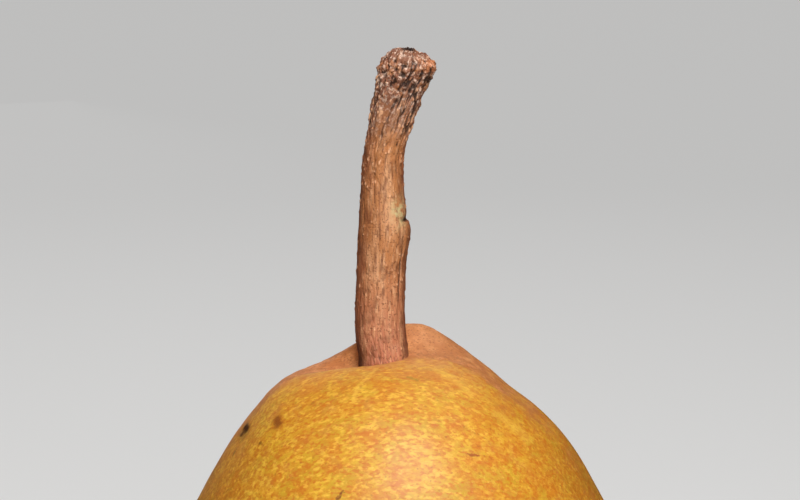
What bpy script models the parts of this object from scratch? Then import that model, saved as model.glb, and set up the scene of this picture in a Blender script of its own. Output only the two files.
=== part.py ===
"""A ripe pear with its woody stem and the dried calyx in its eye, standing on its broad end.

Metres, +Z up. The origin is the middle of the bottom, on the surface that the pear stands on.
The front is -Y and +X is to the right. The fleshy lip beside the stem is at the right, to the rear.
"""

import math

import bmesh
import bpy
from mathutils import Matrix, Vector

MM = 0.001

# The fruit's outline, as (radius, height) from the middle of the stem hollow to the inside of the eye
FRUIT_OUTLINE_MM = [
    (0.0, 84.0),
    (3.2, 83.9),
    (6.0, 83.4),
    (9.0, 82.1),
    (12.0, 79.8),
    (15.0, 76.1),
    (17.7, 71.3),
    (21.4, 64.0),
    (24.3, 58.0),
    (27.6, 52.0),
    (31.2, 46.0),
    (34.5, 40.0),
    (36.9, 34.0),
    (37.8, 28.0),
    (36.9, 20.5),
    (33.8, 13.0),
    (28.8, 6.8),
    (23.0, 2.7),
    (18.0, 0.6),
    (14.6, -0.3),
    (11.6, 0.6),
    (8.4, 3.2),
    (5.4, 5.3),
    (3.3, 6.1),
    (2.4, 7.2),
    (1.9, 9.0),
    (0.0, 9.9),
]
SHOULDER_HEIGHT = 84 * MM
OUTLINE_STEPS = 2
SIDES = 56

# How the fruit leaves the round: a low oval and a three-sided swelling, strongest at the belly
BELLY_OVAL = 0.014
BELLY_FLATS = 0.012

# The shoulder, where the stem comes out of a shallow hollow. Each swelling or dip has a middle
# and a width to its left, right, front and rear.
NECK_HEIGHT = 60 * MM
STEM_FOOT = Vector((-1.8, 0.0)) * MM
STEM_PULL = 4 * MM
HOLLOW_DEPTH = 0.9 * MM
HOLLOW_RADIUS = 3.0 * MM
HOLLOW_MIDDLE = Vector((-2.9, 0.3)) * MM
LIP_HEIGHT = 2.3 * MM
LIP_MIDDLE = Vector((1.5, 4.4)) * MM
LIP_WIDTHS = (4.0 * MM, 2.9 * MM, 1.9 * MM, 4.2 * MM)
VALLEY_DEPTH = 1.0 * MM
VALLEY_MIDDLE = Vector((-5.9, 0.6)) * MM
VALLEY_WIDTHS = (1.9 * MM, 1.6 * MM, 1.6 * MM, 2.6 * MM)
BROW_HEIGHT = 0.45 * MM
BROW_MIDDLE = Vector((-10.2, 0.0)) * MM
BROW_WIDTHS = (2.2 * MM, 2.0 * MM, 5.0 * MM, 5.0 * MM)
FLAT_DEPTH = 0.85 * MM
FLAT_MIDDLE = Vector((10.4, 1.0)) * MM
FLAT_WIDTHS = (1.9 * MM, 3.0 * MM, 6.0 * MM, 7.0 * MM)

# The stem's middle line as (x, y, z) and its radius, from its root in the flesh to its broken end
STEM_LINE_MM = [
    (-1.8, 0.0, 79.2, 2.15),
    (-1.75, 0.0, 83.4, 2.20),
    (-1.7, 0.0, 88.0, 2.12),
    (-1.6, 0.1, 92.0, 2.10),
    (-1.4, 0.15, 95.0, 2.16),
    (-1.5, 0.2, 98.0, 1.88),
    (-1.4, 0.3, 101.5, 1.75),
    (-0.75, 0.4, 104.4, 1.92),
    (-0.2, 0.5, 106.6, 2.12),
    (0.4, 0.55, 108.7, 2.45),
    (0.65, 0.6, 110.6, 2.40),
]
STEM_STEPS = 3
GAP = 0.3 * MM
SOCKET_FLOOR = 78.9 * MM

# The calyx in the eye
SEPALS = 5
SEPAL_LENGTH = 5.2 * MM
SEPAL_WIDTH = 3.0 * MM
SEPAL_THICKNESS = 0.5 * MM
SEPAL_RING = 3.3 * MM
SEPAL_ROOT_HEIGHT = 5.4 * MM
TUFT_RADIUS = 1.3 * MM
TUFT_TOP = 8.2 * MM
TUFT_BOTTOM = 3.6 * MM


def clear_scene():
    for item in list(bpy.data.objects):
        bpy.data.objects.remove(item, do_unlink=True)


def new_collection(name):
    collection = bpy.data.collections.new(name)
    bpy.context.scene.collection.children.link(collection)
    return collection


def new_material(name, colour, roughness):
    material = bpy.data.materials.new(name)
    material.use_nodes = True
    shader = material.node_tree.nodes["Principled BSDF"]
    shader.inputs["Base Color"].default_value = (*colour, 1.0)
    shader.inputs["Roughness"].default_value = roughness
    shader.inputs["Metallic"].default_value = 0.0
    return material


def new_object(name, shape, collection, material=None):
    """A mesh object made from a bmesh, shaded smooth."""
    mesh = bpy.data.meshes.new(name)
    shape.to_mesh(mesh)
    shape.free()
    mesh.shade_smooth()
    made = bpy.data.objects.new(name, mesh)
    collection.objects.link(made)
    if material:
        mesh.materials.append(material)
    return made


def smooth_line(points, steps):
    """A Catmull-Rom curve through the points, with this many steps between each two."""
    points = [Vector(p) for p in points]
    ends = [2 * points[0] - points[1], *points, 2 * points[-1] - points[-2]]
    line = []
    for before, start, end, after in zip(ends, ends[1:], ends[2:], ends[3:]):
        for step in range(steps):
            t = step / steps
            line.append(
                0.5
                * (
                    2 * start
                    + (end - before) * t
                    + (2 * before - 5 * start + 4 * end - after) * t**2
                    + (3 * start - before - 3 * end + after) * t**3
                )
            )
    line.append(points[-1])
    return line


def hump(place, middle, widths):
    """A smooth hump, 1 at its middle, with its own width to the left, right, front and rear."""
    left, right, front, rear = widths
    offset = place - middle
    across = offset.x / (left if offset.x < 0 else right)
    along = offset.y / (front if offset.y < 0 else rear)
    return math.exp(-0.5 * (across**2 + along**2))


def shoulder_relief(place):
    """How far the skin stands above or below the round shoulder at this place."""
    lip = LIP_HEIGHT * hump(place, LIP_MIDDLE, LIP_WIDTHS)
    valley = VALLEY_DEPTH * hump(place, VALLEY_MIDDLE, VALLEY_WIDTHS)
    brow = BROW_HEIGHT * hump(place, BROW_MIDDLE, BROW_WIDTHS)
    flat_side = FLAT_DEPTH * hump(place, FLAT_MIDDLE, FLAT_WIDTHS)
    hollow = HOLLOW_DEPTH * math.exp(-(((place - HOLLOW_MIDDLE).length / HOLLOW_RADIUS) ** 4))
    return lip + brow - valley - flat_side - hollow


def dome_height(outline, radius):
    """The height of the round shoulder at this distance from the fruit's axis."""
    for inner, outer in zip(outline, outline[1:]):
        if inner.x <= radius <= outer.x:
            share = (radius - inner.x) / (outer.x - inner.x)
            return inner.y + (outer.y - inner.y) * share
    return outline[0].y


def fruit_point(outline, ring, angle):
    """A point of the skin, from its ring of the round outline and its angle round the fruit."""
    radius, height = outline[ring].x, max(0.0, outline[ring].y)
    belly = math.sin(math.pi * min(1.0, height / SHOULDER_HEIGHT))
    oval = BELLY_OVAL * math.cos(2 * angle - 0.6)
    flats = BELLY_FLATS * math.cos(3 * angle + 1.1)
    swell = 1 + belly * (oval + flats)
    place = Vector((math.cos(angle), math.sin(angle))) * radius * swell
    if height > NECK_HEIGHT:
        place += STEM_FOOT * math.exp(-((radius / STEM_PULL) ** 2))
        height = dome_height(outline, place.length / swell) + shoulder_relief(place)
    return Vector((place.x, place.y, height))


def make_fruit(collection, cutters, material):
    outline = smooth_line([Vector(p) * MM for p in FRUIT_OUTLINE_MM], OUTLINE_STEPS)
    rings = len(outline) - 1
    shape = bmesh.new()
    bmesh.ops.create_uvsphere(shape, u_segments=SIDES, v_segments=rings, radius=1.0)
    for vertex in shape.verts:
        ring = round(math.acos(max(-1.0, min(1.0, vertex.co.z))) / math.pi * rings)
        angle = math.atan2(vertex.co.y, vertex.co.x)
        vertex.co = fruit_point(outline, ring, angle)
    fruit = new_object("fruit", shape, collection, material)

    socket = bmesh.new()
    bottom, top = SOCKET_FLOOR, 90 * MM
    radius = STEM_LINE_MM[0][3] * MM + GAP
    bmesh.ops.create_cone(
        socket,
        cap_ends=True,
        segments=24,
        radius1=radius,
        radius2=radius + 0.15 * MM,
        depth=top - bottom,
        matrix=Matrix.Translation((STEM_FOOT.x, STEM_FOOT.y, (top + bottom) / 2)),
    )
    cutter = new_object("stem_socket", socket, cutters)
    cutter.display_type = "WIRE"
    cutter.hide_render = True
    cut = fruit.modifiers.new("stem_socket", "BOOLEAN")
    cut.operation = "DIFFERENCE"
    cut.solver = "EXACT"
    cut.object = cutter
    return fruit


def make_stem(collection, material):
    line = smooth_line([Vector(p) * MM for p in STEM_LINE_MM], STEM_STEPS)
    curve = bpy.data.curves.new("stem", "CURVE")
    curve.dimensions = "3D"
    curve.bevel_depth = 1.0
    curve.bevel_resolution = 6
    curve.use_fill_caps = True
    spline = curve.splines.new("POLY")
    spline.points.add(len(line) - 1)
    for point, place in zip(spline.points, line):
        point.co = (place[0], place[1], place[2], 1.0)
        point.radius = place[3]
    spline.use_smooth = True
    curve.materials.append(material)
    stem = bpy.data.objects.new("stem", curve)
    collection.objects.link(stem)
    return stem


def make_sepal(number, collection, material):
    """One dried sepal: a narrow leaf tip, cupped along its length and curled outwards at its point."""
    shape = bmesh.new()
    bmesh.ops.create_grid(shape, x_segments=4, y_segments=8, size=0.5)
    for vertex in shape.verts:
        side, along = vertex.co.x * 2, vertex.co.y + 0.5
        width = SEPAL_WIDTH * (1 - along) ** 0.6 * 0.5 + 0.12 * MM
        curl = 0.9 * along**2
        vertex.co = Vector(
            (
                SEPAL_LENGTH * (0.35 * along + 0.35 * curl),
                side * width,
                -SEPAL_LENGTH * (0.85 * along - 0.25 * curl) + abs(side) ** 2 * 0.3 * MM,
            )
        )
    sepal = new_object(f"sepal_{number}", shape, collection, material)
    turn = math.tau * (number - 1) / SEPALS + 0.3
    sepal.location = (SEPAL_RING * math.cos(turn), SEPAL_RING * math.sin(turn), SEPAL_ROOT_HEIGHT)
    sepal.rotation_euler = (0, 0, turn)
    skin = sepal.modifiers.new("thickness", "SOLIDIFY")
    skin.thickness = SEPAL_THICKNESS
    skin.offset = 0
    return sepal


def make_tuft(collection, material):
    """The dried stamens and styles, as one short stub with a frayed, wider end."""
    shape = bmesh.new()
    bmesh.ops.create_cone(
        shape,
        cap_ends=True,
        segments=12,
        radius1=TUFT_RADIUS,
        radius2=TUFT_RADIUS * 0.6,
        depth=TUFT_TOP - TUFT_BOTTOM,
        matrix=Matrix.Translation((0, 0, (TUFT_TOP + TUFT_BOTTOM) / 2)),
    )
    return new_object("stamen_tuft", shape, collection, material)


clear_scene()
pear = new_collection("pear")
cutters = new_collection("cutters")
cutters.hide_render = True
skin = new_material("skin", (0.72, 0.34, 0.05), 0.4)
bark = new_material("bark", (0.40, 0.16, 0.07), 0.75)
dried_leaf = new_material("dried_leaf", (0.11, 0.05, 0.02), 0.85)
make_fruit(pear, cutters, skin)
make_stem(pear, bark)
for number in range(1, SEPALS + 1):
    make_sepal(number, pear, dried_leaf)
make_tuft(pear, dried_leaf)
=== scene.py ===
"""The looks of a ripe pear with its woody stem and dried calyx, built round its CAD model."""

import math
import random

import bmesh
import bpy
import numpy as np
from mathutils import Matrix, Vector, noise


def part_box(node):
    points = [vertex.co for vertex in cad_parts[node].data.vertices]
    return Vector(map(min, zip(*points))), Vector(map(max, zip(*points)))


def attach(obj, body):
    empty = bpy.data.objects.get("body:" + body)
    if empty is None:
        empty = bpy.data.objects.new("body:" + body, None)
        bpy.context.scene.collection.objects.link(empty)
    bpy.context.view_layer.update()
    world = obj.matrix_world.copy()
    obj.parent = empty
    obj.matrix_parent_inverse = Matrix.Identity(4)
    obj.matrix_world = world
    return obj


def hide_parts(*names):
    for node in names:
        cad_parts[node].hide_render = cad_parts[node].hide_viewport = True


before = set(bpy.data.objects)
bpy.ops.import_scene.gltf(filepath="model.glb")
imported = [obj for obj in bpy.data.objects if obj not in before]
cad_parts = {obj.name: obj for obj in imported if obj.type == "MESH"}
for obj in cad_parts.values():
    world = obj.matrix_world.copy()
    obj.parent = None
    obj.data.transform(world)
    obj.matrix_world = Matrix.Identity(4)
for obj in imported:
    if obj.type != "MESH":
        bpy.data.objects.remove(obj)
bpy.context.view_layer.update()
MM = 0.001

# ---------------------------------------------------------------------------------------------
# The studio: a plain pale floor, one large soft light above the front, soft fills, and a long
# lens that looks a little down on the stem and the shoulder of the pear.
# ---------------------------------------------------------------------------------------------
fruit_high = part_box("fruit")[1]

PALE = (0.97, 0.965, 0.955, 1)
FLOOR_GREY = (0.28, 0.277, 0.272, 1)
FLOOR_SIZE = 24
FLOOR_GLOW = 0.52
ROOM_GLOW = 0.53
ROOM_LIGHT = 0.05


def new_material(name, roughness, specular=0.5):
    """A material with its node tree and its shader."""
    material = bpy.data.materials.new(name)
    material.use_nodes = True
    shader = material.node_tree.nodes["Principled BSDF"]
    shader.inputs["Roughness"].default_value = roughness
    shader.inputs["Specular IOR Level"].default_value = specular
    return material, material.node_tree, shader


def add_node(tree, kind, inputs, **settings):
    """A node of this kind. Each input is a plain value or the output of another node."""
    node = tree.nodes.new(kind)
    for name, value in settings.items():
        setattr(node, name, value)
    for socket, value in inputs.items():
        if isinstance(value, bpy.types.NodeSocket):
            tree.links.new(value, node.inputs[socket])
        else:
            node.inputs[socket].default_value = value
    return node


def arithmetic(tree, operation, first, second):
    """One number worked out from two."""
    return add_node(tree, "ShaderNodeMath", {0: first, 1: second}, operation=operation).outputs[0]


bpy.ops.mesh.primitive_plane_add(size=FLOOR_SIZE)
floor = bpy.context.object
floor.name = "floor"
floor_paint, tree, shader = new_material("floor_paint", 0.9, 0.1)
shader.inputs["Base Color"].default_value = FLOOR_GREY
shader.inputs["Emission Color"].default_value = PALE
seen = add_node(tree, "ShaderNodeLightPath", {}).outputs["Is Camera Ray"]
tree.links.new(arithmetic(tree, "MULTIPLY", seen, FLOOR_GLOW), shader.inputs["Emission Strength"])
floor.data.materials.append(floor_paint)

# The room looks pale, but it gives little light, so that the soft lights shape the pear
world = bpy.data.worlds.new("room")
world.use_nodes = True
tree = world.node_tree
rays = add_node(tree, "ShaderNodeLightPath", {}).outputs
room_light = arithmetic(tree, "MULTIPLY", rays["Is Diffuse Ray"], ROOM_LIGHT)
room_glow = arithmetic(tree, "MULTIPLY", rays["Is Camera Ray"], ROOM_GLOW)
background = tree.nodes["Background"]
background.inputs["Color"].default_value = PALE
tree.links.new(arithmetic(tree, "ADD", room_light, room_glow), background.inputs["Strength"])
bpy.context.scene.world = world
bpy.context.scene.view_settings.view_transform = "Standard"


def soft_light(name, turn, height, distance, size, power, aim, spread, shiny=True):
    """A square soft light aimed at a place, from this turn round it and height above it in degrees."""
    data = bpy.data.lights.new(name, "AREA")
    data.shape = "SQUARE"
    data.size = size
    data.energy = power
    data.spread = math.radians(spread)
    light = bpy.data.objects.new(name, data)
    turn, height = math.radians(turn), math.radians(height)
    back = Vector((math.sin(turn) * math.cos(height), -math.cos(turn) * math.cos(height), math.sin(height)))
    light.location = aim + back * distance
    light.rotation_euler = back.to_track_quat("Z", "Y").to_euler()
    light.visible_glossy = shiny
    bpy.context.scene.collection.objects.link(light)


# Each light: turn and height in degrees, distance and size in metres, watts, aim, spread in degrees
shoulder = Vector((0, 0, fruit_high.z - 8 * MM))
middle = Vector((0, 0, fruit_high.z / 2))
soft_light("key", 14, 60, 0.60, 0.26, 0.34, shoulder, 60)
soft_light("front_fill", 6, 18, 0.80, 0.30, 0.39, shoulder, 50)
soft_light("back_fill", 186, 26, 0.90, 0.50, 0.42, shoulder, 60, shiny=False)
soft_light("back_low", 205, 8, 1.00, 0.60, 0.42, middle, 50, shiny=False)
soft_light("back_sheen", 150, 62, 0.90, 0.40, 0.08, shoulder, 60)

LENS = 120.0
SENSOR = 36.0
FRAME_WIDTH = 69.6 * MM
AIM_OVER_FRUIT = 7.27 * MM
LOOK_DOWN = math.radians(9)
camera_data = bpy.data.cameras.new("camera")
camera_data.lens = LENS
camera_data.sensor_width = SENSOR
camera_data.clip_start = 0.01
camera = bpy.data.objects.new("camera", camera_data)
aim = Vector((0, 0, fruit_high.z + AIM_OVER_FRUIT))
toward_camera = Vector((0, -math.cos(LOOK_DOWN), math.sin(LOOK_DOWN)))
camera.location = aim + toward_camera * (FRAME_WIDTH * LENS / SENSOR)
camera.rotation_euler = toward_camera.to_track_quat("Z", "Y").to_euler()
bpy.context.scene.collection.objects.link(camera)
bpy.context.scene.camera = camera

# ---------------------------------------------------------------------------------------------
# The fruit: skin and flesh grown as one body. A blunt shoulder with a shallow hollow where the
# stem stands and a fleshy lip behind it, a swelling belly, and a basin round the eye below.
# ---------------------------------------------------------------------------------------------
FRUIT_OUTLINE_MM = [  # radius and height, from the middle of the shoulder to the inside of the eye
    (0.0, 84.0),
    (3.2, 83.9),
    (6.0, 83.4),
    (9.0, 82.1),
    (12.0, 79.8),
    (15.0, 76.1),
    (17.7, 71.3),
    (21.4, 64.0),
    (24.3, 58.0),
    (27.6, 52.0),
    (31.2, 46.0),
    (34.5, 40.0),
    (36.9, 34.0),
    (37.8, 28.0),
    (36.9, 20.5),
    (33.8, 13.0),
    (28.8, 6.8),
    (23.0, 2.7),
    (18.0, 0.6),
    (14.6, -0.3),
    (11.6, 0.6),
    (8.4, 3.2),
    (5.4, 5.3),
    (3.3, 6.1),
    (2.4, 7.2),
    (1.9, 9.0),
    (0.0, 9.9),
]
SHOULDER = 84.0
NECK_HEIGHT = 60.0
BASIN_TOP = 20.0
STEM_FOOT = (-1.8, 0.0)
HOLLOW_MIDDLE = (-2.9, 0.3)
FRUIT_SIDES = 400
FRUIT_RINGS = 236


def smooth_line(points, steps):
    """A Catmull-Rom curve through the points, with this many steps between each two."""
    points = np.array(points, float)
    ends = np.vstack([2 * points[0] - points[1], points, 2 * points[-1] - points[-2]])
    t = np.linspace(0, 1, steps, endpoint=False)[:, None]
    line = [
        0.5 * (2 * b + (c - a) * t + (2 * a - 5 * b + 4 * c - d) * t**2 + (3 * b - a - 3 * c + d) * t**3)
        for a, b, c, d in zip(ends, ends[1:], ends[2:], ends[3:])
    ]
    return np.vstack([*line, points[-1]])


def bell(value, middle, below, above):
    """A smooth hump that is 1 at its middle and has its own width on each side."""
    width = np.where(value < middle, below, above)
    return np.exp(-0.5 * ((value - middle) / width) ** 2)


def shoulder_relief(x, y):
    """How far the skin stands above or below the round shoulder near the stem, in millimetres."""
    lip = 2.3 * bell(x, 1.5, 4.0, 2.9) * bell(y, 4.4, 1.9, 4.2)
    hollow = 0.9 * np.exp(-((np.hypot(x - HOLLOW_MIDDLE[0], y - HOLLOW_MIDDLE[1]) / 3.0) ** 4))
    valley = 1.0 * bell(x, -5.9, 1.9, 1.6) * bell(y, 0.6, 1.6, 2.6)
    left_brow = 0.45 * bell(x, -10.2, 2.2, 2.0) * bell(y, 0.0, 5.0, 5.0)
    flat_side = 0.85 * bell(x, 10.4, 1.9, 3.0) * bell(y, 1.0, 6.0, 7.0)
    return lip + left_brow - hollow - valley - flat_side


def noise_at(points, size, octaves=1, seed=0.0):
    """Smooth noise from about -1 to 1 at each point, with features of this size in millimetres."""
    shift = Vector((seed, seed * 1.7, -seed))
    places = (points / size).reshape(-1, 3).tolist()
    if octaves == 1:
        values = [noise.noise(Vector(p) + shift) for p in places]
    else:
        values = [noise.fractal(Vector(p) + shift, 1.0, 2.0, octaves) for p in places]
    return np.array(values).reshape(points.shape[:-1])


def closed_mesh(name, rings):
    """A closed skin over rings of points in millimetres, from the top ring to the bottom one."""
    count, sides = rings.shape[:2]
    top, bottom = rings[0].mean(axis=0), rings[-1].mean(axis=0)
    points = np.vstack([rings.reshape(-1, 3), [top], [bottom]]) * MM
    index = np.arange(count * sides).reshape(count, sides)
    right = np.roll(index, -1, axis=1)
    quads = np.stack([index[:-1], index[1:], right[1:], right[:-1]], axis=-1).reshape(-1, 4)
    top_index, bottom_index = count * sides, count * sides + 1
    caps = [(top_index, a, b) for a, b in zip(index[0], right[0])]
    caps += [(bottom_index, b, a) for a, b in zip(index[-1], right[-1])]
    mesh = bpy.data.meshes.new(name)
    mesh.from_pydata(points.tolist(), [], quads.tolist() + caps)
    mesh.validate()
    mesh.shade_smooth()
    return mesh


def new_piece(name, mesh, material):
    """A piece with this mesh and material, put in the scene."""
    mesh.materials.append(material)
    piece = bpy.data.objects.new(name, mesh)
    bpy.context.scene.collection.objects.link(piece)
    return piece


def paint_layer(mesh, name, values):
    """Keeps a number for each point of the rings and of the two ends, for a material to read."""
    values = values.ravel()
    layer = mesh.attributes.new(name, "FLOAT", "POINT")
    layer.data.foreach_set("value", np.append(values, (values[0], values[-1])).astype(np.float32))


def fruit_rings():
    """The fruit's points ring by ring, closest together on the shoulder where the relief is fine."""
    outline = smooth_line(FRUIT_OUTLINE_MM, 24)
    along = np.concatenate([[0], np.cumsum(np.hypot(*np.diff(outline, axis=0).T))])
    share = np.linspace(0, 1, FRUIT_RINGS + 2)[1:-1]
    place = along[-1] * (0.42 * share + 0.58 * share**2.4)
    radius = np.interp(place, along, outline[:, 0])[:, None]
    height = np.interp(place, along, outline[:, 1])[:, None]
    angle = np.linspace(0, math.tau, FRUIT_SIDES, endpoint=False)[None, :]
    settled = np.maximum(height, 0)
    belly = np.sin(math.pi * np.clip(settled / SHOULDER, 0, 1))
    swell = 1 + belly * (0.014 * np.cos(2 * angle - 0.6) + 0.012 * np.cos(3 * angle + 1.1))
    on_shoulder = height > NECK_HEIGHT
    pull = np.where(on_shoulder, np.exp(-((radius / 4.0) ** 2)), 0)
    x = radius * swell * np.cos(angle) + STEM_FOOT[0] * pull
    y = radius * swell * np.sin(angle) + STEM_FOOT[1] * pull
    upper = outline[outline[:, 1] > NECK_HEIGHT]
    dome = np.interp(np.hypot(x, y) / swell, upper[:, 0], upper[:, 1])
    z = np.where(on_shoulder, dome + shoulder_relief(x, y), settled)
    return np.stack([x, y, np.broadcast_to(z, x.shape)], axis=-1)


def grid_normals(rings):
    """The way out of the surface at each point of its rings."""
    across = np.roll(rings, -1, axis=1) - np.roll(rings, 1, axis=1)
    down = np.gradient(rings, axis=0)
    normals = np.cross(down, across)
    return normals / np.maximum(np.linalg.norm(normals, axis=2, keepdims=True), 1e-9)


rings = fruit_rings()
x, y, z = rings[..., 0], rings[..., 1], rings[..., 2]
from_stem = np.hypot(x - STEM_FOOT[0], y - STEM_FOOT[1])
from_axis = np.hypot(x, y)
on_top = z > NECK_HEIGHT
swells = 0.16 * noise_at(rings, 9.0) + 0.05 * noise_at(rings, 3.0, seed=4.0)
swells *= np.clip(z / 4.0, 0, 1) * np.clip(from_stem / 8.0, 0, 1)
round_eye = bell(from_axis, 6.0, 2.6, 3.2) * (z < BASIN_TOP)
pleats = 0.28 * np.cos(10 * np.arctan2(y, x) + 2.0 * noise_at(rings, 6.0, seed=9.0)) * round_eye
puckers = 0.05 * noise_at(rings * (1, 1, 0.3), 0.9, seed=6.0) * bell(from_stem, 3.2, 1.2, 1.6) * on_top
puckers += 0.06 * noise_at(rings, 1.1, 2, seed=14.0) * bell(from_stem, 6.5, 2.5, 3.5) * (y > -1) * on_top
rings += grid_normals(rings) * (swells + pleats + puckers)[..., None]
rings[..., 2] = np.maximum(rings[..., 2], 0)
fruit_mesh = closed_mesh("fruit_skin", rings)

# The russet, where the skin is corky: behind a wavy line just before the stem, and round the eye
front_edge = np.interp(x, (-14, -9, -6, -1.7, 1.5, 4, 9), (-2.2, -1.4, -0.8, -1.9, -1.2, -1.2, -4.2))
behind = np.clip((y - front_edge + 0.5) / 1.6, 0, 1)
before = np.clip((y - front_edge + 6.0) / 6.0, 0, 1) ** 2
russet = (0.72 * behind + 0.28 * before) * np.exp(-((from_stem / 12.5) ** 2))
russet += 0.12 * np.exp(-((from_stem / 15.0) ** 4))
round_basin = np.exp(-((from_axis / 11.0) ** 4)) * (z < BASIN_TOP)
paint_layer(fruit_mesh, "russet", np.where(on_top, np.clip(russet, 0, 1), round_basin))

# A tan band on the crest before the stem, and a sandy patch on the front of the lip
rim = np.clip((y - front_edge + 5.4) / 3.4, 0, 1) * bell(x, 1.5, 7.5, 6.0)
rim *= np.exp(-((from_stem / 10.5) ** 4)) * on_top
paint_layer(fruit_mesh, "rim", rim)
paint_layer(fruit_mesh, "sandy", bell(x, 2.6, 1.8, 2.2) * bell(y, 3.0, 2.5, 2.5) * on_top)


def painted(tree, name):
    """The numbers kept on the mesh under this name."""
    return add_node(tree, "ShaderNodeAttribute", {}, attribute_name=name).outputs["Fac"]


def mix_colour(tree, share, under, over):
    """The under colour where the share is 0, and the over colour where it is 1."""
    under, over = [c if isinstance(c, bpy.types.NodeSocket) else (*c, 1.0) for c in (under, over)]
    return add_node(tree, "ShaderNodeMix", {0: share, 6: under, 7: over}, data_type="RGBA").outputs[2]


def stretch_range(tree, value, low, high, least=0.0, most=1.0):
    """The value eased from least at low to most at high."""
    inputs = {"Value": value, "From Min": low, "From Max": high, "To Min": least, "To Max": most}
    return add_node(tree, "ShaderNodeMapRange", inputs, interpolation_type="SMOOTHSTEP").outputs[0]


def place_arithmetic(tree, operation, first, second):
    """One place worked out from two."""
    return add_node(tree, "ShaderNodeVectorMath", {0: first, 1: second}, operation=operation).outputs[0]


def new_group(name, places, numbers, results):
    """A node group with these sockets: the group, what it is given, and where its results go."""
    group = bpy.data.node_groups.new(name, "ShaderNodeTree")
    for socket in places:
        group.interface.new_socket(socket, in_out="INPUT", socket_type="NodeSocketVector")
    for socket in numbers:
        group.interface.new_socket(socket, in_out="INPUT", socket_type="NodeSocketFloat")
    for socket in results:
        group.interface.new_socket(socket, in_out="OUTPUT", socket_type="NodeSocketFloat")
    given = group.nodes.new("NodeGroupInput").outputs
    return group, given, group.nodes.new("NodeGroupOutput").inputs


def mottling_group():
    """A cloud from 0 to 1, and blotches: 0 where the cloud is under Low, and Strength over High."""
    numbers = ("Per Metre", "Seed", "Detail", "Roughness", "Low", "High", "Strength")
    group, given, results = new_group("mottling", ["Place"], numbers, ["Cloud", "Blotches"])
    inputs = {
        "Vector": given["Place"],
        "W": given["Seed"],
        "Scale": given["Per Metre"],
        "Detail": given["Detail"],
        "Roughness": given["Roughness"],
    }
    cloudy = add_node(group, "ShaderNodeTexNoise", inputs, noise_dimensions="4D").outputs["Fac"]
    patches = stretch_range(group, cloudy, given["Low"], given["High"], 0.0, given["Strength"])
    group.links.new(cloudy, results["Cloud"])
    group.links.new(patches, results["Blotches"])
    return group


def speckle_group():
    """Round specks with ragged edges, each in its own size: pores, pits, dots and lenticels."""
    numbers = ("Per Metre", "Size", "Raggedness")
    group, given, results = new_group("speckle", ["Place"], numbers, ["Mask"])
    cells = add_node(group, "ShaderNodeTexVoronoi", {"Vector": given["Place"], "Scale": given["Per Metre"]})
    rough = add_node(group, "ShaderNodeTexNoise", {"Vector": given["Place"], "Detail": 1.0})
    group.links.new(arithmetic(group, "MULTIPLY", given["Per Metre"], 3.0), rough.inputs["Scale"])
    uneven = arithmetic(group, "SUBTRACT", rough.outputs["Fac"], 0.5)
    wobble = arithmetic(group, "MULTIPLY", uneven, given["Raggedness"])
    distance = arithmetic(group, "ADD", cells.outputs["Distance"], wobble)
    luck = add_node(group, "ShaderNodeSeparateColor", {"Color": cells.outputs["Color"]}).outputs["Red"]
    reach = arithmetic(group, "MULTIPLY", given["Size"], luck)
    inner = arithmetic(group, "MULTIPLY", reach, 0.6)
    group.links.new(stretch_range(group, distance, inner, reach, 1.0, 0.0), results["Mask"])
    return group


def stroke_group():
    """A mark with soft edges along a straight stroke over the surface, such as a bruise or a scratch."""
    group, given, results = new_group("stroke", ["Place", "From", "To"], ["Width"], ["Mask"])

    def vector(operation, first, second):
        return add_node(group, "ShaderNodeVectorMath", {0: first, 1: second}, operation=operation)

    run = vector("SUBTRACT", given["To"], given["From"]).outputs["Vector"]
    offset = vector("SUBTRACT", given["Place"], given["From"]).outputs["Vector"]
    along = vector("DOT_PRODUCT", offset, run).outputs["Value"]
    whole = vector("DOT_PRODUCT", run, run).outputs["Value"]
    share = add_node(group, "ShaderNodeMath", {0: along, 1: whole}, operation="DIVIDE", use_clamp=True)
    inputs = {0: run, "Scale": share.outputs[0]}
    nearest = add_node(group, "ShaderNodeVectorMath", inputs, operation="SCALE")
    away = vector("DISTANCE", offset, nearest.outputs["Vector"]).outputs["Value"]
    inner = arithmetic(group, "MULTIPLY", given["Width"], 0.2)
    group.links.new(stretch_range(group, away, inner, given["Width"], 1.0, 0.0), results["Mask"])
    return group


mottling = mottling_group()
speckle = speckle_group()
stroke = stroke_group()


def cloud(tree, place, size, seed, detail=2.0):
    """Cloudy noise from 0 to 1 with features of this size in millimetres."""
    inputs = {"Place": place, "Per Metre": 1000 / size, "Seed": seed, "Detail": detail, "Roughness": 0.5}
    return add_node(tree, "ShaderNodeGroup", inputs, node_tree=mottling).outputs["Cloud"]


def blotches(tree, place, size, seed, low, high, strength, detail=2.0, roughness=0.5):
    """A mask of blotches of this size in millimetres, which grow stronger from low to high."""
    inputs = {"Place": place, "Per Metre": 1000 / size, "Seed": seed, "Low": low, "High": high}
    inputs |= {"Strength": strength, "Detail": detail, "Roughness": roughness}
    return add_node(tree, "ShaderNodeGroup", inputs, node_tree=mottling).outputs["Blotches"]


def specks(tree, place, spacing, size, strength, raggedness=0.25):
    """A mask of specks this far apart in millimetres, and at most this share of the spacing across."""
    inputs = {"Place": place, "Per Metre": 1000 / spacing, "Size": size, "Raggedness": raggedness}
    dots = add_node(tree, "ShaderNodeGroup", inputs, node_tree=speckle)
    return arithmetic(tree, "MULTIPLY", dots.outputs["Mask"], strength)


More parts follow.
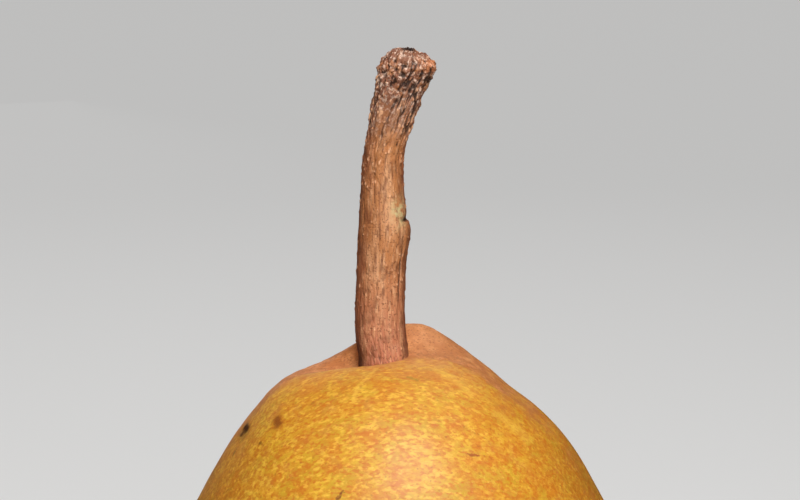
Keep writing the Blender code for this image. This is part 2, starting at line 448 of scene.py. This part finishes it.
GOLD = (0.80, 0.435, 0.030)
AMBER = (0.72, 0.30, 0.026)
RUST = (0.60, 0.165, 0.012)
STRAW = (0.90, 0.56, 0.065)
OLIVE = (0.56, 0.325, 0.020)
BLUSH_AND_SHADE = (0.42, 0.135, 0.010)
LENTICEL = (0.36, 0.120, 0.012)
RUSSET = (0.50, 0.165, 0.045)
RUSSET_DARK = (0.25, 0.066, 0.018)
RUSSET_LIGHT = (0.72, 0.30, 0.105)
TAN = (0.72, 0.335, 0.095)
SAND = (0.56, 0.255, 0.110)
BREATHER = (0.40, 0.17, 0.030)
PALE_LINE = (0.90, 0.56, 0.08)
RAGGED_BY = 0.45 * MM

# Marks on the shoulder, as their two ends in plan, half their width, their strength and their
# colour: a brown bruise, a black one, nicks and a scratch, and pale bands
MARKS_MM = [
    ((-10.5, -6.4), (-10.35, -7.1), 1.05, 0.55, (0.48, 0.120, 0.012)),
    ((-10.5, -6.4), (-10.35, -7.1), 0.66, 0.82, (0.24, 0.058, 0.010)),
    ((-13.6, -2.2), (-13.45, -3.4), 1.15, 0.55, (0.20, 0.075, 0.010)),
    ((-13.5, -2.0), (-13.3, -3.0), 0.64, 0.92, (0.050, 0.017, 0.005)),
    ((-13.75, -2.5), (-13.7, -2.8), 0.44, 0.75, (0.060, 0.022, 0.006)),
    ((-12.0, -7.2), (-11.7, -7.4), 0.24, 0.80, (0.20, 0.055, 0.007)),
    ((-14.4, -4.3), (-14.2, -4.0), 0.20, 0.70, (0.10, 0.030, 0.004)),
    ((-5.2, -15.0), (-4.7, -14.8), 0.20, 0.90, (0.20, 0.045, 0.008)),
    ((5.6, -12.2), (6.5, -11.95), 0.20, 0.80, (0.32, 0.045, 0.010)),
    ((0.7, -6.2), (1.5, -6.6), 0.26, 0.60, (0.34, 0.190, 0.020)),
    ((3.3, -4.6), (6.0, -6.7), 0.80, 0.28, PALE_LINE),
    ((8.3, -7.5), (10.8, -7.6), 0.90, 0.24, PALE_LINE),
    ((-3.9, -8.4), (-3.6, -7.2), 0.30, 0.40, PALE_LINE),
    ((-3.6, -7.2), (-2.9, -6.2), 0.30, 0.40, PALE_LINE),
    ((-2.9, -6.2), (-1.9, -4.4), 0.30, 0.35, PALE_LINE),
]

skin, tree, shader = new_material("skin", 0.45, 0.5)
place = add_node(tree, "ShaderNodeTexCoord", {}).outputs["Object"]
flecks = place_arithmetic(tree, "MULTIPLY", place, (0.55, 1.0, 1.0))
parted = add_node(tree, "ShaderNodeSeparateXYZ", {"Vector": place}).outputs
sideways, height = parted["X"], parted["Z"]

# The ground colour in wide clouds, and on it rust, olive and straw flecks that lie across
colour = mix_colour(tree, blotches(tree, place, 12.0, 1.0, 0.38, 0.62, 0.8), GOLD, AMBER)
colour = mix_colour(tree, blotches(tree, place, 26.0, 13.0, 0.42, 0.64, 0.45), colour, OLIVE)
colour = mix_colour(tree, blotches(tree, flecks, 2.2, 2.0, 0.42, 0.64, 0.70, 4.0, 0.60), colour, OLIVE)
colour = mix_colour(tree, blotches(tree, flecks, 1.6, 3.0, 0.43, 0.70, 0.80, 5.0, 0.68), colour, RUST)
colour = mix_colour(tree, blotches(tree, flecks, 0.58, 4.0, 0.46, 0.68, 0.74, 3.0, 0.62), colour, RUST)
to_left = stretch_range(tree, sideways, 1 * MM, 9 * MM, 1.0, 0.55)
pale = arithmetic(tree, "MULTIPLY", to_left, blotches(tree, flecks, 0.62, 5.0, 0.48, 0.76, 0.78, 3.0, 0.60))
colour = mix_colour(tree, pale, colour, STRAW)
colour = mix_colour(tree, arithmetic(tree, "MULTIPLY", painted(tree, "rim"), 0.85), colour, TAN)
colour = mix_colour(tree, blotches(tree, flecks, 0.26, 12.0, 0.47, 0.64, 0.80, 2.0), colour, RUST)
colour = mix_colour(tree, specks(tree, place, 1.3, 0.30, 0.35, 0.45), colour, RUST)

# The flanks of the shoulder, left and right, where the skin is browner: a blush and painted shade at the
# sides, and the dots on the whole skin
shaded_flank = stretch_range(tree, arithmetic(tree, "ABSOLUTE", sideways, 0.0), 10 * MM, 19 * MM)
shaded_flank = arithmetic(tree, "MULTIPLY", shaded_flank, stretch_range(tree, height, 46 * MM, 66 * MM, 0.30, 1.0))
blush_and_shade = arithmetic(tree, "MULTIPLY", shaded_flank, blotches(tree, place, 3.0, 16.0, 0.32, 0.64, 0.80, 5.0, 0.68))
colour = mix_colour(tree, blush_and_shade, colour, BLUSH_AND_SHADE)
pale = arithmetic(tree, "MULTIPLY", to_left, blotches(tree, flecks, 0.34, 15.0, 0.51, 0.68, 0.60, 2.0))
colour = mix_colour(tree, pale, colour, STRAW)
# Darker flecks on the flanks, also part of the painted shade at the sides
dark = arithmetic(tree, "MULTIPLY", shaded_flank, blotches(tree, flecks, 0.32, 21.0, 0.49, 0.64, 0.72, 3.0))
colour = mix_colour(tree, dark, colour, BLUSH_AND_SHADE)
colour = mix_colour(tree, specks(tree, place, 0.55, 0.26, 0.40, 0.30), colour, LENTICEL)
colour = mix_colour(tree, specks(tree, place, 2.3, 0.10, 0.50, 0.10), colour, LENTICEL)
on_body = stretch_range(tree, height, 72 * MM, 58 * MM)
breathers = arithmetic(tree, "MULTIPLY", on_body, specks(tree, place, 2.4, 0.17, 0.75, 0.15))
colour = mix_colour(tree, breathers, colour, BREATHER)

# The cork of the russet, with the ragged edge of its place
cork = mix_colour(tree, blotches(tree, place, 0.9, 6.0, 0.44, 0.66, 0.80, 5.0, 0.60), RUSSET, RUSSET_LIGHT)
cork = mix_colour(tree, blotches(tree, place, 0.24, 9.0, 0.54, 0.66, 0.40, 2.0), cork, RUSSET_DARK)
cork = mix_colour(tree, arithmetic(tree, "MULTIPLY", painted(tree, "sandy"), 0.40), cork, SAND)
cork = mix_colour(tree, specks(tree, place, 0.27, 0.48, 0.45, 0.45), cork, RUSSET_DARK)
edge = blotches(tree, place, 1.1, 7.0, 0.25, 0.75, 0.50, 5.0, 0.6)
where_corky = stretch_range(tree, arithmetic(tree, "ADD", painted(tree, "russet"), edge), 0.28, 1.06)
colour = mix_colour(tree, where_corky, colour, cork)

# The marks, with edges that a fine noise makes uneven
ragged = add_node(tree, "ShaderNodeTexNoise", {"Vector": place, "Scale": 3300.0, "Detail": 1.0})
shift = place_arithmetic(tree, "SUBTRACT", ragged.outputs["Color"], (0.5, 0.5, 0.5))
shift = place_arithmetic(tree, "MULTIPLY", shift, (RAGGED_BY, RAGGED_BY, RAGGED_BY))
worn_place = place_arithmetic(tree, "ADD", place, shift)


def skin_height(plan):
    """The height of the skin in metres over this place in plan, on the shoulder."""
    away = np.where(on_top, np.hypot(x - plan[0], y - plan[1]), np.inf)
    return z.ravel()[np.argmin(away)] * MM


for start, end, half_width, strength, tint in MARKS_MM:
    first, last = [(p[0] * MM, p[1] * MM, skin_height(p)) for p in (start, end)]
    inputs = {"Place": worn_place, "From": first, "To": last, "Width": half_width * MM}
    mark = add_node(tree, "ShaderNodeGroup", inputs, node_tree=stroke).outputs["Mask"]
    colour = mix_colour(tree, arithmetic(tree, "MULTIPLY", mark, strength), colour, tint)
tree.links.new(colour, shader.inputs["Base Color"])

# The pitted grain, the dull cork and a little light in the flesh
grain = cloud(tree, place, 0.30, 8.0)
pores = specks(tree, place, 0.27, 0.48, 1.0, 0.30)
bumps = arithmetic(tree, "SUBTRACT", grain, arithmetic(tree, "MULTIPLY", pores, 0.5))
relief = add_node(tree, "ShaderNodeBump", {"Height": bumps, "Distance": 0.03 * MM, "Strength": 0.7})
tree.links.new(relief.outputs["Normal"], shader.inputs["Normal"])
roughness = add_node(tree, "ShaderNodeMapRange", {"Value": where_corky, "To Min": 0.45, "To Max": 0.65})
tree.links.new(roughness.outputs[0], shader.inputs["Roughness"])
shader.inputs["Subsurface Weight"].default_value = 0.10
shader.inputs["Subsurface Radius"].default_value = (0.9, 0.45, 0.15)
shader.inputs["Subsurface Scale"].default_value = 0.6 * MM
fruit = new_piece("fruit_skin", fruit_mesh, skin)
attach(fruit, "root")
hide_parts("fruit")

# ---------------------------------------------------------------------------------------------
# The stem: a woody stalk grown into the flesh. It is fibrous below, has the scar of a bud at its
# right side, and flares into a weathered, cracked knuckle where it broke away from the spur.
# ---------------------------------------------------------------------------------------------
STEM_LINE_MM = [  # middle across and behind, height, and radius, from the hollow in its end to its root
    (0.75, 1.00, 109.95, 0.35),
    (0.70, 0.95, 110.05, 0.75),
    (0.68, 0.80, 110.60, 1.05),
    (0.64, 0.65, 110.72, 1.45),
    (0.60, 0.60, 110.35, 2.00),
    (0.52, 0.58, 109.55, 2.42),
    (0.38, 0.55, 108.60, 2.42),
    (-0.20, 0.50, 106.60, 2.12),
    (-0.75, 0.40, 104.40, 1.92),
    (-1.40, 0.30, 101.50, 1.75),
    (-1.48, 0.20, 98.00, 1.88),
    (-1.38, 0.15, 95.00, 2.16),
    (-1.58, 0.10, 92.00, 2.10),
    (-1.70, 0.00, 88.00, 2.13),
    (-1.62, 0.00, 85.60, 2.16),
    (-1.42, 0.00, 83.30, 2.14),
    (-1.80, 0.00, 79.40, 2.15),
]
STEM_SIDES = 240
STEM_RINGS = 340
GRAIN_STRETCH = 5.0
TWIST = 0.08
WARTS = 520
BIG_WARTS = 44
STEM_GIRTH = 2.1  # its usual radius, which sets the scale of the grain round it

line = smooth_line(STEM_LINE_MM, 20)
along = np.concatenate([[0], np.cumsum(np.linalg.norm(np.diff(line, axis=0), axis=1))])
even = np.linspace(0, along[-1], STEM_RINGS)
middle_x, middle_y, height, radius = [np.interp(even, along, line[:, i])[:, None] for i in range(4)]
angle = np.linspace(0, math.tau, STEM_SIDES, endpoint=False)[None, :]
lobes = 1 + 0.03 * np.cos(2 * angle + 0.6) + 0.025 * np.cos(3 * angle - 0.9 + height / 9)
rings = np.stack(
    [
        middle_x + radius * lobes * np.cos(angle),
        middle_y + radius * lobes * np.sin(angle),
        np.broadcast_to(height, (STEM_RINGS, STEM_SIDES)),
    ],
    axis=-1,
)
tall = np.broadcast_to(height, rings.shape[:2]).copy()
at_end = np.clip((tall - 109.2) / 0.9, 0, 1)
rings[..., 2] -= 0.38 * np.clip((rings[..., 0] - 1.2) / 0.5, 0, 1) * at_end
rings[..., 0] += 0.30 * np.clip(-np.cos(angle), 0, 1) * np.clip((tall - 107.6) / 2.0, 0, 1)
grain_angle = angle - TWIST * np.maximum(tall - 103, 0)
along_grain = even[:, None] / GRAIN_STRETCH + 0 * tall
grain = np.stack([STEM_GIRTH * np.cos(grain_angle), STEM_GIRTH * np.sin(grain_angle), along_grain], -1)


def turned_from(degrees):
    """How far each point is turned from this side of the stem, in radians one way or the other."""
    return np.angle(np.exp(1j * (angle - np.radians(degrees))))


def furrow_lines(points, size, width, seed):
    """Furrows that wander along the grain: 1 in the bottom of a furrow and 0 away from it."""
    return np.exp(-((noise_at(points, size, seed=seed) / width) ** 2))


weathered = np.interp(tall, (83, 86, 90, 97, 101, 104, 107), (0.26, 0.24, 0.18, 0.20, 0.32, 0.72, 1.0))
broken = np.clip(0.5 + 2.2 * noise_at(grain, 1.3, seed=2.0), 0, 1)
below_end = np.clip((109.6 - tall) / 0.8, 0, 1)
furrows = furrow_lines(grain, 0.62, 0.12, 1.0) * broken * below_end
right_top = np.exp(-((turned_from(-42) / 0.85) ** 2)) * bell(tall, 106.6, 2.8, 1.6)
splits = furrow_lines(grain, 0.40, 0.17, 21.0) * right_top
cracks = furrow_lines(grain, 0.34, 0.16, 3.0) * np.clip(0.4 + 2.0 * noise_at(grain, 0.7, seed=5.0), 0, 1)
foot_slits = furrow_lines(grain * (1, 1, 1.6), 0.32, 0.11, 7.0) * bell(tall, 84.4, 1.6, 0.9)
foot_slits *= np.clip(0.5 + 2.5 * noise_at(grain, 0.6, seed=15.0), 0, 1)
crease_side = -42 + 1.146 * (tall - 92)
long_crease = np.exp(-((turned_from(crease_side) / 0.05) ** 2)) * bell(tall, 91.5, 2.2, 2.4)
lumps = noise_at(rings, 1.2, 2, seed=8.0)
knobs = noise_at(rings, 0.52, 3, seed=11.0) * np.clip((tall - 106.0) / 3, 0, 1) * (1 - 0.45 * at_end)
fibres = noise_at(grain, 0.26, seed=13.0)

# The bud scar: a notch with a swollen lip under it, and a pale healed patch to its left
lip_swell = np.exp(-((turned_from(-12) / 0.75) ** 2)) * bell(tall, 95.3, 1.2, 0.35)
notch = np.exp(-((turned_from(-12) / 0.55) ** 2)) * bell(tall, 96.02, 0.10, 0.30)
scar = np.exp(-((turned_from(-46) / 0.42) ** 4)) * bell(tall, 96.8, 0.75, 0.75)

# Pale warts, thicker on the left and right and under the broken end
chance = random.Random(7)
wart = np.zeros(rings.shape[:2])
for number in range(WARTS + BIG_WARTS):
    anywhere = chance.uniform(0, math.tau)
    on_left, on_right = chance.gauss(math.pi, 0.5), chance.gauss(-0.1, 0.4)
    wart_angle = chance.choice((anywhere, on_left, on_right))
    anywhere = chance.uniform(84.5, 110)
    upper, near_end = chance.triangular(98, 110, 106), chance.gauss(105.5, 1.8)
    wart_height = chance.choice((anywhere, upper, near_end))
    wide, tall_wart = chance.uniform(0.055, 0.11), chance.uniform(0.07, 0.16)
    if number >= WARTS:
        wart_height, wide, tall_wart = chance.gauss(105.6, 1.3), 0.14, chance.uniform(0.13, 0.19)
    across = turned_from(math.degrees(wart_angle)) * STEM_GIRTH / wide
    reach = (across**2 + ((tall - wart_height) / tall_wart) ** 2) / 2
    wart = np.maximum(wart, np.exp(-(reach**1.5)) * chance.uniform(0.5, 1.0))

worn_down = weathered * (0.16 * lumps - 0.17 * furrows - 0.13 * cracks) - 0.22 * splits + 0.26 * knobs
details = 0.018 * fibres - 0.07 * foot_slits - 0.12 * long_crease + 0.08 * wart
details += 0.15 * lip_swell - 0.22 * notch - 0.04 * cracks * (1 - weathered)
rings = rings + grid_normals(rings) * (worn_down + details)[..., None]
stem_mesh = closed_mesh("stem_bark", rings)

# Where the bark is dark, pale, weathered or red, and where shade is painted on it: in its recesses, in the
# hollow of its end, at its foot and down its sides
# The dark layer: the bark's own dark in its furrows, cracks, splits and slits, and painted shade in these
# recesses, in the crease, in the notch and in the gaps between the knobs
shaded_gaps = np.clip(-2.2 * knobs - 0.28, 0, 1)
crack_and_shade_lines = weathered * (0.75 * furrows + 0.9 * cracks) + 1.1 * splits
crack_and_shade_lines += 0.45 * foot_slits + 0.8 * long_crease + notch + shaded_gaps
paint_layer(stem_mesh, "crack_shade", np.clip(crack_and_shade_lines, 0, 1))
paint_layer(stem_mesh, "wart", wart)
paint_layer(stem_mesh, "scar", scar)
paint_layer(stem_mesh, "weathered", np.clip((tall - 102.5) / 5, 0, 1))
paint_layer(stem_mesh, "foot", np.clip((93 - tall) / 8, 0, 1))
# Painted shade, near black, in the hollow of the broken end
hollow_shade = np.clip((1.42 - radius) / 0.2, 0, 1) * np.exp(-(((rings[..., 0] - 0.75) / 0.68) ** 4))
paint_layer(stem_mesh, "hollow", hollow_shade * (tall > 109.5))
round_end = bell(np.hypot(rings[..., 0] - 0.6, rings[..., 1] - 0.6), 2.25, 0.28, 0.40) * (tall > 108.9)
raw = round_end * (np.abs(turned_from(-100)) > 0.65)
paint_layer(stem_mesh, "raw", raw * np.clip(0.6 + 1.2 * noise_at(rings, 0.8, seed=19.0), 0, 1))
# Painted shade at the foot of the stem, strongest on its left side and weaker on its right
painted_shade = np.exp(-((turned_from(196) / 0.42) ** 2)) * bell(tall, 83.5, 2.0, 1.6)
painted_shade += 0.45 * np.exp(-((turned_from(-20) / 0.32) ** 2)) * bell(tall, 85.5, 2.5, 1.9)
paint_layer(stem_mesh, "painted_shade", np.clip(painted_shade, 0, 1))
# Painted shade down the left and right sides of the stem, with a red tint
sides = np.exp(-((turned_from(188) / 0.74) ** 2)) + np.exp(-((turned_from(-2) / 0.56) ** 2))
paint_layer(stem_mesh, "red_and_shaded", np.clip(sides * (1 + 0.6 * noise_at(grain, 0.7, 2, seed=17.0)), 0, 1))
grain_layer = stem_mesh.attributes.new("grain", "FLOAT_VECTOR", "POINT")
grain_points = np.vstack([grain.reshape(-1, 3), grain[0, :1], grain[-1, :1]])
grain_layer.data.foreach_set("vector", grain_points.ravel() * MM)

BARK = (0.52, 0.20, 0.066)
BARK_PINK = (0.54, 0.20, 0.105)
BARK_RED_SHADE = (0.26, 0.070, 0.026)
BARK_DARK = (0.15, 0.045, 0.016)
BARK_LIGHT = (0.80, 0.42, 0.21)
BARK_GREY = (0.76, 0.52, 0.39)
BARK_PURPLE = (0.25, 0.105, 0.070)
RAW_WOOD = (0.74, 0.25, 0.085)
CRACK_AND_SHADE = (0.028, 0.010, 0.005)
WART = (0.90, 0.48, 0.26)
SCAR_CREAM = (0.62, 0.50, 0.24)

bark, tree, shader = new_material("bark", 0.6, 0.35)
place = add_node(tree, "ShaderNodeTexCoord", {}).outputs["Object"]
with_grain = add_node(tree, "ShaderNodeAttribute", {}, attribute_name="grain").outputs["Vector"]
colour = mix_colour(tree, painted(tree, "foot"), BARK, BARK_PINK)
colour = mix_colour(tree, blotches(tree, with_grain, 0.9, 1.0, 0.45, 0.68, 0.60, 4.0), colour, BARK_LIGHT)
colour = mix_colour(tree, blotches(tree, with_grain, 0.30, 2.0, 0.50, 0.66, 0.60, 3.0), colour, BARK_DARK)
colour = mix_colour(tree, blotches(tree, with_grain, 0.18, 3.0, 0.52, 0.68, 0.60, 3.0), colour, BARK_LIGHT)
colour = mix_colour(tree, blotches(tree, place, 1.6, 4.0, 0.50, 0.66, 0.50, 5.0, 0.6), colour, BARK_DARK)
colour = mix_colour(tree, blotches(tree, place, 0.20, 10.0, 0.56, 0.66, 0.65, 2.0), colour, BARK_DARK)
# The left and right sides darker red: painted shade with a red tint
colour = mix_colour(tree, arithmetic(tree, "MULTIPLY", painted(tree, "red_and_shaded"), 0.8), colour, BARK_RED_SHADE)
old = painted(tree, "weathered")
colour = mix_colour(tree, arithmetic(tree, "MULTIPLY", old, 0.72), colour, BARK_PURPLE)
grey = arithmetic(tree, "MULTIPLY", old, blotches(tree, place, 0.38, 5.0, 0.49, 0.59, 0.95, 5.0, 0.62))
colour = mix_colour(tree, grey, colour, BARK_GREY)
orange = arithmetic(tree, "MULTIPLY", old, blotches(tree, place, 1.0, 14.0, 0.56, 0.66, 0.65, 4.0, 0.6))
colour = mix_colour(tree, orange, colour, BARK)
black = arithmetic(tree, "MULTIPLY", old, blotches(tree, place, 0.22, 6.0, 0.53, 0.62, 0.86, 4.0, 0.6))
colour = mix_colour(tree, black, colour, BARK_DARK)
colour = mix_colour(tree, arithmetic(tree, "MULTIPLY", painted(tree, "raw"), 0.55), colour, RAW_WOOD)
healed = blotches(tree, place, 0.5, 7.0, 0.35, 0.60, 1.0, 3.0)
colour = mix_colour(tree, arithmetic(tree, "MULTIPLY", painted(tree, "scar"), healed), colour, SCAR_CREAM)
colour = mix_colour(tree, stretch_range(tree, painted(tree, "wart"), 0.30, 0.80, 0.0, 0.78), colour, WART)
# Near black where the bark is cracked and where shade is painted in its recesses
cracked_and_shaded = stretch_range(tree, painted(tree, "crack_shade"), 0.20, 0.90, 0.0, 0.92)
colour = mix_colour(tree, cracked_and_shaded, colour, CRACK_AND_SHADE)
# The painted shade in the hollow of the end
colour = mix_colour(tree, painted(tree, "hollow"), colour, CRACK_AND_SHADE)
# The painted shade at the foot, near black
colour = mix_colour(tree, arithmetic(tree, "MULTIPLY", painted(tree, "painted_shade"), 0.85), colour, CRACK_AND_SHADE)
tree.links.new(colour, shader.inputs["Base Color"])
strands = cloud(tree, with_grain, 0.16, 8.0, 3.0)
strands = arithmetic(tree, "ADD", strands, cloud(tree, place, 0.2, 9.0, 3.0))
relief = add_node(tree, "ShaderNodeBump", {"Height": strands, "Distance": 0.09 * MM, "Strength": 0.8})
tree.links.new(relief.outputs["Normal"], shader.inputs["Normal"])
stem = new_piece("stem_bark", stem_mesh, bark)
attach(stem, "root")
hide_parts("stem")

# ---------------------------------------------------------------------------------------------
# The sepals: five papery tips left from the blossom, dried dark in the eye under the pear. Each
# grew from the rim of the basin; they are cupped, crinkled along their veins and ragged.
# ---------------------------------------------------------------------------------------------
SEPALS = 5
SEPAL_ACROSS = 22
SEPAL_ALONG = 60
SEPAL_THICKNESS = 0.22


def sepal_points(number, chance):
    """The middle surface of one sepal in its CAD box, as a grid of points from its root to its tip."""
    low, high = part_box(f"sepal_{number}")
    middle = (low + high) / 2
    turn = math.atan2(middle.y, middle.x)
    out = np.array((math.cos(turn), math.sin(turn), 0.0))
    aside = np.array((-math.sin(turn), math.cos(turn), 0.0))
    root = out * 3.3 + np.array((0, 0, high.z / MM - 0.35))
    length = (high.z - low.z) / MM - 0.7
    along = np.linspace(0, 1, SEPAL_ALONG)[:, None]
    side = np.linspace(-1, 1, SEPAL_ACROSS)[None, :]
    lean, curl, wave = chance.uniform(0.25, 0.5), chance.uniform(0.7, 1.5), chance.uniform(0, math.tau)
    half_width = 1.35 * (1 - along**1.5) ** 0.8 * (1 + 0.10 * np.sin(9 * along + wave)) + 0.07
    reach_out = length * (lean * along + 0.22 * curl * along**3)
    drop = length * (along - 0.12 * curl * along**3)
    cup = 0.42 * side**2 * (1 - 0.6 * along)
    flutter = 0.16 * np.sin(7 * along + 3 * side + wave) * along
    sway = 0.35 * np.sin(2.4 * along + wave) * along
    veins = 0.05 * np.cos(side * 9) * (1 - along)
    points = root + (reach_out - cup + flutter + veins)[..., None] * out
    points = points + (side * half_width + sway)[..., None] * aside
    points[..., 2] -= drop + 0 * side
    return points


def two_sided_sheet(name, points, thickness):
    """A closed thin sheet round a grid of points in millimetres."""
    normals = np.cross(np.gradient(points, axis=0), np.gradient(points, axis=1))
    normals /= np.maximum(np.linalg.norm(normals, axis=2, keepdims=True), 1e-9)
    crinkle = 0.10 * noise_at(points, 0.55, 2, seed=3.0) + 0.04 * noise_at(points, 0.2, seed=5.0)
    points = points + normals * crinkle[..., None]
    front, back = points + normals * thickness / 2, points - normals * thickness / 2
    loops = np.concatenate([front, back[:, ::-1]], axis=1)
    return closed_mesh(name, loops)


def fibre_group():
    """Fine streaks that run up and down a piece: the veins of a dry leaf, or the hairs of a stamen."""
    group, given, results = new_group("fibre", ["Place"], ["Per Metre", "Stretch"], ["Streaks"])
    inputs = {"X": 1.0, "Y": 1.0, "Z": given["Stretch"]}
    squeeze = add_node(group, "ShaderNodeCombineXYZ", inputs).outputs[0]
    drawn_out = place_arithmetic(group, "MULTIPLY", given["Place"], squeeze)
    inputs = {"Vector": drawn_out, "Scale": given["Per Metre"], "Detail": 3.0}
    strands = add_node(group, "ShaderNodeTexNoise", inputs).outputs["Fac"]
    group.links.new(strands, results["Streaks"])
    return group


fibre = fibre_group()


def streaks(tree, place, spacing, stretch):
    """Streaks this far apart in millimetres; a small stretch makes them long."""
    inputs = {"Place": place, "Per Metre": 1000 / spacing, "Stretch": stretch}
    return add_node(tree, "ShaderNodeGroup", inputs, node_tree=fibre).outputs["Streaks"]


LEAF = (0.17, 0.075, 0.030)
LEAF_DARK = (0.045, 0.020, 0.010)
LEAF_PALE = (0.42, 0.25, 0.12)
dried_leaf, tree, shader = new_material("dried_leaf", 0.8, 0.25)
place = add_node(tree, "ShaderNodeTexCoord", {}).outputs["Object"]
veins = streaks(tree, place, 0.22, 0.25)
colour = mix_colour(tree, blotches(tree, place, 1.3, 1.0, 0.40, 0.62, 0.8, 4.0, 0.6), LEAF, LEAF_DARK)
colour = mix_colour(tree, stretch_range(tree, veins, 0.52, 0.70, 0.0, 0.65), colour, LEAF_PALE)
colour = mix_colour(tree, specks(tree, place, 0.5, 0.45, 0.6, 0.4), colour, LEAF_DARK)
tree.links.new(colour, shader.inputs["Base Color"])
ridges = arithmetic(tree, "ADD", veins, cloud(tree, place, 0.15, 2.0, 2.0))
relief = add_node(tree, "ShaderNodeBump", {"Height": ridges, "Distance": 0.08 * MM, "Strength": 0.8})
tree.links.new(relief.outputs["Normal"], shader.inputs["Normal"])

for number in range(1, SEPALS + 1):
    sheet = sepal_points(number, random.Random(20 + number))
    sepal_mesh = two_sided_sheet(f"sepal_leaf_{number}", sheet, SEPAL_THICKNESS)
    sepal = new_piece(f"sepal_leaf_{number}", sepal_mesh, dried_leaf)
    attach(sepal, "root")
    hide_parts(f"sepal_{number}")

# ---------------------------------------------------------------------------------------------
# The stamens: a tuft of dried threads in the middle of the eye, some with the husk of an anther
# still on the end, standing on the withered stub of the styles.
# ---------------------------------------------------------------------------------------------
STAMENS = 24
THREAD_RADIUS = 0.10
tuft_low, tuft_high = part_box("stamen_tuft")


def thread_rings(path, radii, sides=8):
    """Rings of points round a path that runs downwards."""
    angle = np.linspace(0, math.tau, sides, endpoint=False)
    ring = np.stack([np.cos(angle), np.sin(angle), 0 * angle], axis=-1)
    return path[:, None, :] + ring[None] * radii[:, None, None]


def joined(name, parts):
    """One mesh made of several closed ones."""
    whole = bmesh.new()
    for part in parts:
        whole.from_mesh(part)
        bpy.data.meshes.remove(part)
    mesh = bpy.data.meshes.new(name)
    whole.to_mesh(mesh)
    whole.free()
    mesh.shade_smooth()
    return mesh


chance = random.Random(11)
top, bottom = tuft_high.z / MM, tuft_low.z / MM
reach = (tuft_high.x - tuft_low.x) / MM / 2
share = np.linspace(0, 1, 24)
stub_path = np.stack([0.06 * np.sin(5 * share), 0.05 * np.cos(4 * share), top - 1.9 * share], axis=-1)
stub_rings = thread_rings(stub_path, 0.62 - 0.22 * share + 0.05 * np.sin(19 * share), 40)
stub_rings += 0.06 * noise_at(stub_rings, 0.35, 2, seed=2.0)[..., None] * np.array((1, 1, 0))
parts = [closed_mesh("stub", stub_rings)]
for number in range(STAMENS):
    turn = math.tau * number / STAMENS + chance.uniform(-0.15, 0.15)
    start, splay = chance.uniform(0.15, 0.5), chance.uniform(0.45, 0.95) * (reach - 0.15)
    length = (top - bottom) * chance.uniform(0.62, 0.97)
    swirl = turn + chance.uniform(-0.5, 0.5) * share
    out = start + (splay - start) * share**chance.uniform(0.7, 1.6)
    path = np.stack([out * np.cos(swirl), out * np.sin(swirl), top - 0.2 - (length - 0.2) * share], axis=-1)
    anther = chance.choice((0, 0.13, 0.17)) * np.exp(-(((share - 0.93) / 0.06) ** 2))
    radii = THREAD_RADIUS * (1 - 0.45 * share) + anther
    parts.append(closed_mesh("thread", thread_rings(path, radii)))
tuft_mesh = joined("stamens", parts)

THREAD = (0.10, 0.045, 0.020)
THREAD_DARK = (0.028, 0.013, 0.007)
ANTHER = (0.30, 0.17, 0.075)
dried_thread, tree, shader = new_material("dried_thread", 0.85, 0.2)
place = add_node(tree, "ShaderNodeTexCoord", {}).outputs["Object"]
hairs = streaks(tree, place, 0.12, 0.3)
colour = mix_colour(tree, blotches(tree, place, 0.8, 1.0, 0.42, 0.60, 0.9, 3.0), THREAD, THREAD_DARK)
colour = mix_colour(tree, stretch_range(tree, hairs, 0.54, 0.72, 0.0, 0.7), colour, ANTHER)
colour = mix_colour(tree, specks(tree, place, 0.35, 0.5, 0.7, 0.4), colour, THREAD_DARK)
tree.links.new(colour, shader.inputs["Base Color"])
relief = add_node(tree, "ShaderNodeBump", {"Height": hairs, "Distance": 0.06 * MM, "Strength": 0.8})
tree.links.new(relief.outputs["Normal"], shader.inputs["Normal"])
stamens = new_piece("stamens", tuft_mesh, dried_thread)
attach(stamens, "root")
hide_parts("stamen_tuft")
